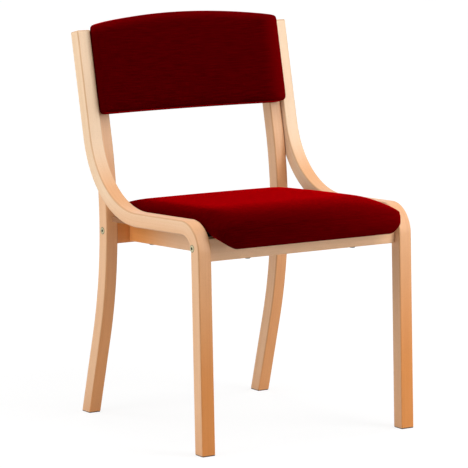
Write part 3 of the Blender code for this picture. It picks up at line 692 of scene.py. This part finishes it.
# Padded seat and back
seatShape = {
    "place": (0.0, -0.20873, 0.4335),
    "tilt": -0.04164,
    "half": 0.2275,
    "front": -0.06095,
    "rear": 0.36668,
    "top": 0.0505,
    "under": 0.0120,
    "low": -0.0216,
    "lipBack": -0.0214,
    "lipHalf": 0.121,
    "lipRise": 0.0312,
    "lipTilt": 0.239,
    "cornerWidth": 0.0808,
    "rearRound": 0.075,
    "roll": 0.0314,
    "sideFall": 0.0098,
    "sideFrom": 0.568,
    "rearFall": 0.0021,
    "waterfall": 0.0200,
    "waterfallLength": 0.130,
    "inset": 0.0004,
    "swell": 0.001,
    "held": 0.0005,  # reach of the hem that the filling leaves in place
    "clothTop": 0.05,  # the cloth lies flat above this height
}
backShape = {
    "place": (0.0, 0.23336, 0.81309),
    "tilt": math.radians(-12.7),
    "half": 0.2278,
    "thickness": 0.0285,
    "high": 0.0098,
    "low": -0.1793,
    "sag": 0.022,
    "legInner": 0.2007,
    "ease": 0.0008,
    "arch": 0.0212,
    "bottomArch": 0.004,
    "crown": 0.003,
    "corner": 0.019,
    "end": 0.022,
    "roll": 0.013,
    "inset": 0.0004,
    "swell": 0.0012,
    "held": 0.001,
}


def loopBox(places):
    # box with an edge loop at each of the given places along each axis
    bm = bmesh.new()
    bmesh.ops.create_cube(bm, size=1.0)
    for axis, stops in enumerate(places):
        for vert in bm.verts:
            vert.co[axis] = stops[0] if vert.co[axis] < 0 else stops[-1]
    for axis, stops in enumerate(places):
        normal = Vector([float(index == axis) for index in range(3)])
        for stop in stops[1:-1]:
            everything = bm.verts[:] + bm.edges[:] + bm.faces[:]
            bmesh.ops.bisect_plane(bm, geom=everything, plane_co=normal * stop, plane_no=normal)
    return bm


def smoothForm(bm, isHem, levels):
    # the form smoothed, with its hem edges kept sharp
    crease = bm.edges.layers.float.new("crease_edge")
    for edge in bm.edges:
        edge[crease] = float(isHem(edge))
    carrier = bpy.data.objects.new("softForm", toMesh(bm, "softForm"))
    smoothing = carrier.modifiers.new("smoothing", "SUBSURF")
    smoothing.levels = levels
    smoothing.render_levels = levels
    return evaluated(carrier)


def seatForm(shape):
    half = shape["half"] - shape["inset"]
    front = shape["front"] + shape["inset"]
    rear = shape["rear"] - shape["inset"]
    top = shape["top"] - shape["inset"]
    under, low, lipBack = shape["under"], shape["low"], shape["lipBack"]
    middle = (front + rear) / 2
    columns = [-half, shape["cornerWidth"] - half, 0.0, half - shape["cornerWidth"], half]
    rows = [front, lipBack, middle, rear - shape["rearRound"], rear]
    bm = loopBox((columns, rows, [under, top - shape["roll"], top]))
    bm.normal_update()
    ahead = [f for f in bm.faces if f.normal.z < -0.9 and f.calc_center_median().y < lipBack]
    # the lip is drawn down face by face, because an extrusion's order changes from run to run
    rim = [e for f in ahead for e in f.edges if sum(g in ahead for g in e.link_faces) == 1]
    lowered = dict.fromkeys(v for f in ahead for v in f.verts)
    for vert in lowered:
        lowered[vert] = bm.verts.new((vert.co.x, vert.co.y, low))
    for face in ahead:
        bm.faces.new([lowered[v] for v in face.verts])
    for edge in rim:
        first, second = edge.verts
        bm.faces.new((first, second, lowered[second], lowered[first]))
    bmesh.ops.delete(bm, geom=ahead, context="FACES")
    bmesh.ops.recalc_face_normals(bm, faces=bm.faces)
    bm.normal_update()

    def isHem(edge):
        lipEnd = all(abs(v.co.y - lipBack) < 1e-6 and v.co.z < under + 1e-6 for v in edge.verts)
        upright = abs(edge.verts[0].co.z - edge.verts[1].co.z) > 1e-6
        atSide = all(abs(v.co.x) > half - 1e-6 for v in edge.verts)
        return sum(f.normal.z < -0.9 for f in edge.link_faces) == 1 or (lipEnd and upright and atSide)

    mesh = smoothForm(bm, isHem, 4)
    for vert in mesh.vertices:
        x, y, z = vert.co
        side = max(0.0, (abs(x) / half - shape["sideFrom"]) / (1 - shape["sideFrom"]))
        fall = max(0.0, 1 - (y - front) / shape["waterfallLength"])
        back = max(0.0, (y - middle) / (rear - middle))
        share = max(0.0, (z - under) / (top - under))
        drop = max(0.0, (under - z) / (under - low))
        # the lower corners of the lip rise towards the sides
        reach = max(0.0, (abs(x) - shape["lipHalf"]) / (half - shape["lipHalf"]))
        z += drop * max(0.0, shape["lipRise"] * reach**2.9 - shape["lipTilt"] * (lipBack - y))
        z -= share * (shape["sideFall"] * side**3.5 + shape["waterfall"] * fall**2)
        z -= share * shape["rearFall"] * back**2
        vert.co = (x, y, z)
    return mesh


def backForm(shape):
    inset = shape["inset"]
    half = shape["half"] - inset
    front = inset - shape["thickness"]
    low = shape["low"] + inset
    high = shape["high"] - inset
    corner = shape["corner"]
    columns = [-half, shape["end"] - half, 0.0, half - shape["end"], half]
    rows = [front, front + shape["roll"], 0.0]
    bm = loopBox((columns, rows, [low, low + corner, high - corner, high]))

    def isHem(edge):
        return sum(f.calc_center_median().y > -1e-6 for f in edge.link_faces) == 1

    mesh = smoothForm(bm, isHem, 4)
    for vert in mesh.vertices:
        x, y, z = vert.co
        bulge = 1 - (x / half) ** 2
        share = (z - low) / (high - low)
        lead = y / front
        rear = shape["sag"] * ((shape["legInner"] ** 2 - x**2) / shape["half"] ** 2) - shape["ease"]
        y += rear - shape["crown"] * lead * bulge * 4 * share * (1 - share)
        z += bulge * (shape["arch"] * share + shape["bottomArch"] * (1 - share))
        vert.co = (x, y, z)
    return mesh


filling = {
    "quality": 5,
    "mass": 0.3,
    "tension_stiffness": 25.0,
    "compression_stiffness": 25.0,
    "shear_stiffness": 15.0,
    "bending_stiffness": 2.0,
    "use_pressure": True,
    "uniform_pressure_force": 4.0,
}
fillingSteps = 20
eveningSteps = 25


def puff(piece, held, swell):
    # cloth blown up by its filling; the swelling is evened out, as taut upholstery shows no folds
    group = piece.vertex_groups.new(name="held")
    group.add(held, 1.0, "REPLACE")
    before = [v.co.copy() for v in piece.data.vertices]
    outwards = [v.normal.copy() for v in piece.data.vertices]
    cloth = piece.modifiers.new("filling", "CLOTH")
    for key, value in filling.items():
        setattr(cloth.settings, key, value)
    cloth.settings.effector_weights.gravity = 0.0
    cloth.settings.vertex_group_mass = "held"
    cloth.point_cache.frame_start = 1
    cloth.point_cache.frame_end = fillingSteps
    for step in range(1, fillingSteps + 1):
        scene.frame_set(step)
    graph = bpy.context.evaluated_depsgraph_get()
    after = [v.co.copy() for v in piece.evaluated_get(graph).data.vertices]
    piece.modifiers.remove(cloth)
    piece.vertex_groups.remove(group)
    scene.frame_set(1)
    swells = [(b - a).dot(n) for a, b, n in zip(before, after, outwards)]
    swells = [min(swell, max(-swell, value)) for value in swells]
    near = [[] for _ in before]
    for edge in piece.data.edges:
        first, second = edge.vertices
        near[first].append(second)
        near[second].append(first)
    fixed = set(held)
    for _ in range(eveningSteps):
        evened = []
        for index, beside in enumerate(near):
            total = swells[index] + sum(swells[other] for other in beside)
            evened.append(0.0 if index in fixed else total / (1 + len(beside)))
        swells = evened
    for vert, old, outward, value in zip(piece.data.vertices, before, outwards, swells):
        vert.co = old + outward * value
    print("  swelled", piece.name, "by up to", round(1000 * max(swells), 2), "mm")


def setCloth(mesh, flatten, paintSheenAndShade):
    # place of each point on the flat cloth, and the painted sheen and shade there: above 0 painted sheen,
    # below 0 painted shade
    cloth = [flatten(vert.co, vert.normal) for vert in mesh.vertices]
    layer = mesh.attributes.new("cloth", "FLOAT_VECTOR", "POINT")
    layer.data.foreach_set("vector", [part for place in cloth for part in place])
    sheenAndShade = [paintSheenAndShade(vert.co, vert.normal) for vert in mesh.vertices]
    mesh.attributes.new("sheenAndShade", "FLOAT", "POINT").data.foreach_set("value", sheenAndShade)


def ease(value, low, high):
    share = min(1.0, max(0.0, (value - low) / (high - low)))
    return share * share * (3 - 2 * share)


def flatSeat(place, facing):
    drop = max(0.0, seatShape["clothTop"] - place.z)
    level = facing.x**2 + facing.y**2 + 1e-6
    sideways = drop * facing.x * abs(facing.x) / level
    forwards = drop * max(0.0, -facing.y) ** 2 / level
    return (place.x + sideways, place.y - forwards, 0.0)


def flatBack(place, facing):
    return (place.x + place.y * facing.x, place.z + place.y * facing.z, 0.0)


seatPaintedLight = {
    "end": 0.85,
    "endFrom": -0.14,
    "endLength": 0.37,
    "lip": (-0.03, 0.02),
    "nose": 0.07,
    "noseTurn": (0.4, 0.9),
    "sideTurn": (0.0, 0.20),
}
backPaintedSheen = {"paintedLift": 0.7, "end": (0.175, 0.226), "top": (-0.015, 0.009)}


def seatSheenAndShade(place, facing):
    # painted shade on the left side, painted light growing towards the right-hand end and a little painted
    # sheen on the nose
    paintedLight = seatPaintedLight
    paintedLift = paintedLight["end"] * max(0.0, (place.x - paintedLight["endFrom"]) / paintedLight["endLength"]) ** 2
    paintedLift = paintedLift * ease(place.z, *paintedLight["lip"]) + paintedLight["nose"] * ease(-facing.y, *paintedLight["noseTurn"])
    return paintedLift - ease(-facing.x, *paintedLight["sideTurn"])


def backSheen(place, facing):
    # painted sheen where the cloth turns over the right-hand end and the top
    top = backShape["arch"] * (1 - (place.x / backShape["half"]) ** 2)
    over = ease(place.z - top, *backPaintedSheen["top"])
    return backPaintedSheen["paintedLift"] * max(ease(place.x, *backPaintedSheen["end"]), over)


def padPiece(name, mesh, shape, held, flatten, paintSheenAndShade, stoodFor):
    piece = bpy.data.objects.new(name, mesh)
    scene.collection.objects.link(piece)
    puff(piece, held, shape["swell"])
    bpy.data.objects.remove(piece, do_unlink=True)
    setCloth(mesh, flatten, paintSheenAndShade)
    mesh.transform(Matrix.Translation(shape["place"]) @ Matrix.Rotation(shape["tilt"], 4, "X"))
    piece = addPiece(name, mesh, redCloth, stoodFor, 70.0)
    smoothing = piece.modifiers.new("smoothing", "SUBSURF")
    smoothing.levels = 1
    smoothing.render_levels = 1


seatMesh = seatForm(seatShape)
hem = seatShape["under"] + seatShape["held"]
seatHeld = [v.index for v in seatMesh.vertices if v.co.z < hem]
padPiece("seatCushion", seatMesh, seatShape, seatHeld, flatSeat, seatSheenAndShade, ["seat_cover", "seat_foam"])
backMesh = backForm(backShape)
backHeld = []
for vert in backMesh.vertices:
    rearFace = backShape["sag"] * ((backShape["legInner"] ** 2 - vert.co.x**2) / backShape["half"] ** 2)
    if vert.co.y > rearFace - backShape["ease"] - backShape["held"]:
        backHeld.append(vert.index)
padPiece("backCushion", backMesh, backShape, backHeld, flatBack, backSheen, ["back_cover", "back_foam"])
print("cushions made")


# Black lining under the seat, turned up round the board
liningShape = {
    "half": 0.2228,
    "rear": 0.36198,
    "front": -0.0103,
    "cornerFrom": 0.150,
    "cornerFront": 0.0,
    "bottom": 0.0004,
    "turnUp": 0.0105,
    "turnEnd": (0.10, 0.20),
    "drawIn": 0.010,
    "turnLeast": 0.0008,
    "thickness": 0.0007,
    "sag": 0.0025,
    "sagHalf": 0.14,
    "sagFrom": 0.02,
    "sagLength": 0.33,
}


def lining(shape):
    bm = bmesh.new()
    bmesh.ops.create_grid(bm, x_segments=48, y_segments=40, size=1.0)
    for vert in bm.verts:
        across, along = vert.co.x, (vert.co.y + 1) / 2
        x = across * shape["half"]
        over = max(0.0, abs(x) - shape["cornerFrom"]) / (shape["half"] - shape["cornerFrom"])
        front = shape["front"] + (shape["cornerFront"] - shape["front"]) * over
        y = front + (shape["rear"] - front) * along
        x -= across * shape["drawIn"] * ease(y, *shape["turnEnd"])
        sagAcross = max(0.0, 1 - (x / shape["sagHalf"]) ** 2)
        sagAlong = max(0.0, 1 - (2 * (y - shape["sagFrom"]) / shape["sagLength"] - 1) ** 2)
        vert.co = (x, y, shape["bottom"] - shape["sag"] * (sagAcross * sagAlong))
    rim = [e for e in bm.edges if e.is_boundary]
    made = bmesh.ops.extrude_edge_only(bm, edges=rim)["geom"]
    begin, end = shape["turnEnd"]
    for vert in [g for g in made if isinstance(g, bmesh.types.BMVert)]:
        # the turned up edge dies away ahead of the rear legs
        share = min(1.0, max(0.0, (end - vert.co.y) / (end - begin)))
        vert.co.z += shape["turnLeast"] + (shape["turnUp"] - shape["turnLeast"]) * share
    bmesh.ops.recalc_face_normals(bm, faces=bm.faces)
    move = Matrix.Translation(seatShape["place"]) @ Matrix.Rotation(seatShape["tilt"], 4, "X")
    bmesh.ops.transform(bm, matrix=move, verts=bm.verts)
    piece = addPiece("seatLining", toMesh(bm, "seatLining"), blackLining, ["seat_lining"])
    wall = piece.modifiers.new("thickness", "SOLIDIFY")
    wall.thickness = shape["thickness"]
    wall.offset = 0.0


lining(liningShape)
print("lining made")


# Bolt and screw heads with a hexagon socket
boltShape = {
    "radius": 0.0075,
    "height": 0.0018,
    "sink": 0.0009,
    "rim": 0.0017,
    "dome": 0.0002,
    "socket": 0.0034,
    "depth": 0.0007,
    "shank": 0.0025,
}
screwShape = {
    "radius": 0.00625,
    "height": 0.0027,
    "sink": 0.0,
    "rim": 0.0009,
    "dome": 0.0008,
    "socket": 0.0020,
    "depth": 0.0014,
    "shank": 0.0018,
}
headShape = {"segments": 48, "leastSide": 0.0001, "socketEdge": 0.0005, "rimShade": 0.9}


def fastener(name, node, aim, shape, material):
    # the head leaves the wood along aim, with its shank behind it
    aim = Vector(aim)
    points = [vert.co for vert in cadNodes[node].data.vertices]
    reaches = [point.dot(aim) for point in points]
    crown = [point for point, reach in zip(points, reaches) if reach > max(reaches) - 1e-5]
    centre = sum(crown, Vector()) / len(crown)
    top = max(reaches) - min(reaches)
    under = top - shape["height"]
    crest = top - shape["sink"]
    bm = bmesh.new()
    recessShade = bm.verts.layers.float.new("recessShade")
    bmesh.ops.create_circle(bm, cap_ends=True, segments=headShape["segments"], radius=shape["shank"])
    face = next(iter(bm.faces))
    shoulder = max(under + headShape["leastSide"], crest - shape["dome"] - shape["rim"])
    stops = (  # radius and height of each ring, from the shank to the socket
        (shape["shank"], under),
        (shape["radius"], under),
        (shape["radius"], shoulder),
        (shape["radius"] - shape["rim"], crest - shape["dome"]),
        (shape["socket"] + headShape["socketEdge"], crest),
        (shape["socket"], crest),
    )
    wide = shape["shank"]
    for radius, height in stops:
        face = pushFace(bm, face, (0, 0, height - face.calc_center_median().z))
        bmesh.ops.scale(bm, verts=face.verts, vec=(radius / wide, radius / wide, 1.0))
        wide = radius
    for vert in face.verts:
        # the last ring becomes a hexagon
        turn = math.atan2(vert.co.y, vert.co.x) % (math.pi / 3) - math.pi / 6
        vert.co.xy = vert.co.xy.normalized() * shape["socket"] * math.cos(math.pi / 6) / math.cos(turn)
    floor = set(pushFace(bm, face, (0, 0, -shape["depth"])).verts)
    dropInner(bm)
    for vert in bm.verts:
        # painted shade on the socket floor and the outer rim of the head
        atRim = vert.co.xy.length > shape["radius"] - 1e-5
        vert[recessShade] = 1.0 if vert in floor else headShape["rimShade"] * atRim
    bmesh.ops.recalc_face_normals(bm, faces=bm.faces)
    turnTo = Vector((0, 0, 1)).rotation_difference(aim).to_matrix().to_4x4()
    bmesh.ops.transform(bm, matrix=Matrix.Translation(centre - aim * top) @ turnTo, verts=bm.verts)
    addPiece(name, toMesh(bm, name), material, [node], 30.0)


backAim = Matrix.Rotation(backShape["tilt"], 3, "X") @ Vector((0, 1, 0))
seatAim = Matrix.Rotation(seatShape["tilt"], 3, "X") @ Vector((0, 0, -1))
for side, sign in sides:
    for row in ("front", "rear"):
        label = row + "_" + side
        fastener("bolt_head_" + label, "bolt_" + label, (sign, 0, 0), boltShape, brass)
    for row, aim in (("front", (0, 0, -1)), ("rear", seatAim)):
        label = row + "_" + side
        fastener("seatScrew_" + label, "screw_seat_" + label, aim, screwShape, zinc)
    for row in ("upper", "lower"):
        label = row + "_" + side
        fastener("backScrew_" + label, "screw_back_" + label, backAim, screwShape, zinc)
print("fasteners made")


# Glides
glideShape = {"height": 0.002, "soleEdge": 0.0006, "uprightEdge": 0.0008}
for side, _ in sides:
    for row in ("front", "rear"):
        label = row + "_" + side
        low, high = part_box("glide_" + label)
        bm = boxMesh((low.x, low.y, 0.0), (high.x, high.y, glideShape["height"]))
        half = glideShape["height"] / 2
        sole = [e for e in bm.edges if max(v.co.z for v in e.verts) < half]
        roundEdges(bm, sole, glideShape["soleEdge"], 2)
        upright = [e for e in bm.edges if abs(e.verts[0].co.z - e.verts[1].co.z) > half]
        roundEdges(bm, upright, glideShape["uprightEdge"], 2)
        name = "glide_pad_" + label
        addPiece(name, toMesh(bm, name), brownPlastic, ["glide_" + label])
print("glides made")


# CAD nodes that stay
for name, node in cadNodes.items():
    if node.hide_render:
        continue
    finish = zinc
    if name.startswith("dowel"):
        finish = dowelBeech
    elif name.endswith("board"):
        finish = boardPly
    node.data.materials.clear()
    node.data.materials.append(finish)


# Floor, backdrop light and lamps
floorLook = {
    "size": 14.0,
    "shade": (0.16, 0.16, 0.16, 1.0),  # takes the shadow
    "paling": (0.5, 2.2),  # distance from the chair over which the floor pales to white
    "levels": (0.86, 1.0),
    "plain": (0.80, 0.79, 0.78, 1.0),
}
white = (1.0, 1.0, 1.0, 1.0)
worldLevel = 0.105
lampSize = 1.2


def seenRays(tree):
    # rays that see the white backdrop
    rays = addNode(tree, "LightPath").outputs
    seen = calc(tree, "MAXIMUM", rays["Is Camera Ray"], rays["Is Glossy Ray"])
    return calc(tree, "MAXIMUM", seen, rays["Is Transmission Ray"])


def makeFloor(look):
    bm = bmesh.new()
    bmesh.ops.create_grid(bm, x_segments=8, y_segments=8, size=look["size"])
    floor = bpy.data.objects.new("floor", toMesh(bm, "floor"))
    scene.collection.objects.link(floor)
    material = bpy.data.materials.new("paleFloor")
    material.use_nodes = True
    tree = material.node_tree
    tree.nodes.clear()
    lit = addNode(tree, "BsdfDiffuse", {"Color": look["shade"]}).outputs[0]
    away = addNode(tree, "VectorMath", {0: objectPlace(tree)}, operation="LENGTH")
    level = remap(tree, away.outputs["Value"], *look["paling"], *look["levels"])
    glow = addNode(tree, "Emission", {"Color": white, "Strength": level}).outputs[0]
    shown = addNode(tree, "AddShader", {0: lit, 1: glow}).outputs[0]
    plain = addNode(tree, "BsdfDiffuse", {"Color": look["plain"]}).outputs[0]
    mixed = addNode(tree, "MixShader", {0: seenRays(tree), 1: plain, 2: shown}).outputs[0]
    out = tree.nodes.new("ShaderNodeOutputMaterial")
    tree.links.new(mixed, out.inputs["Surface"])
    floor.data.materials.append(material)


def makeWorld(level):
    world = bpy.data.worlds.new("studio")
    scene.world = world
    world.use_nodes = True
    tree = world.node_tree
    tree.nodes.clear()
    plain = addNode(tree, "Background", {"Color": white, "Strength": level}).outputs[0]
    backdrop = addNode(tree, "Background", {"Color": white, "Strength": 1.0}).outputs[0]
    mixed = addNode(tree, "MixShader", {0: seenRays(tree), 1: plain, 2: backdrop}).outputs[0]
    out = tree.nodes.new("ShaderNodeOutputWorld")
    tree.links.new(mixed, out.inputs["Surface"])


lamps = {
    "lowRight": {"at": (1.05, -1.55, 0.85), "watts": 12.8},
    "highRight": {"at": (0.85, -1.25, 1.75), "watts": 12.5},
    "right": {"at": (1.9, -0.2, 1.3), "watts": 13.0},
    "leftMid": {"at": (-1.75, -0.1, 1.3), "watts": 11.5},
    "leftLow": {"at": (-2.15, 0.0, 0.6), "watts": 9.5},
    "top": {"at": (0.0, -0.4, 2.3), "watts": 14.0},
    "rearLeft": {"at": (-1.2, 1.2, 1.7), "watts": 10.0},
    "rearTop": {"at": (0.2, 1.2, 2.0), "watts": 6.0},
}
lampTarget = Vector((0.0, 0.0, 0.6))


def makeLamp(name, lamp):
    light = bpy.data.lights.new(name, "AREA")
    light.shape = "DISK"
    light.size = lampSize
    light.energy = lamp["watts"]
    item = bpy.data.objects.new(name, light)
    scene.collection.objects.link(item)
    item.location = lamp["at"]
    item.rotation_euler = (lampTarget - Vector(lamp["at"])).to_track_quat("-Z", "Y").to_euler()
    item.visible_camera = False


cameraView = {"at": (-3.5792, -5.45337, 1.3828), "aim": (0.54060, 0.82786, -0.14970), "lens": 244.3}


def makeCamera(view):
    lens = bpy.data.cameras.new("camera")
    lens.lens = view["lens"]
    lens.sensor_width = 36.0
    lens.clip_end = 100.0
    item = bpy.data.objects.new("camera", lens)
    scene.collection.objects.link(item)
    item.location = view["at"]
    item.rotation_euler = Vector(view["aim"]).to_track_quat("-Z", "Y").to_euler()
    scene.camera = item


makeFloor(floorLook)
makeWorld(worldLevel)
for name, lamp in lamps.items():
    makeLamp(name, lamp)
makeCamera(cameraView)
scene.view_settings.view_transform = "Standard"
print("studio made")
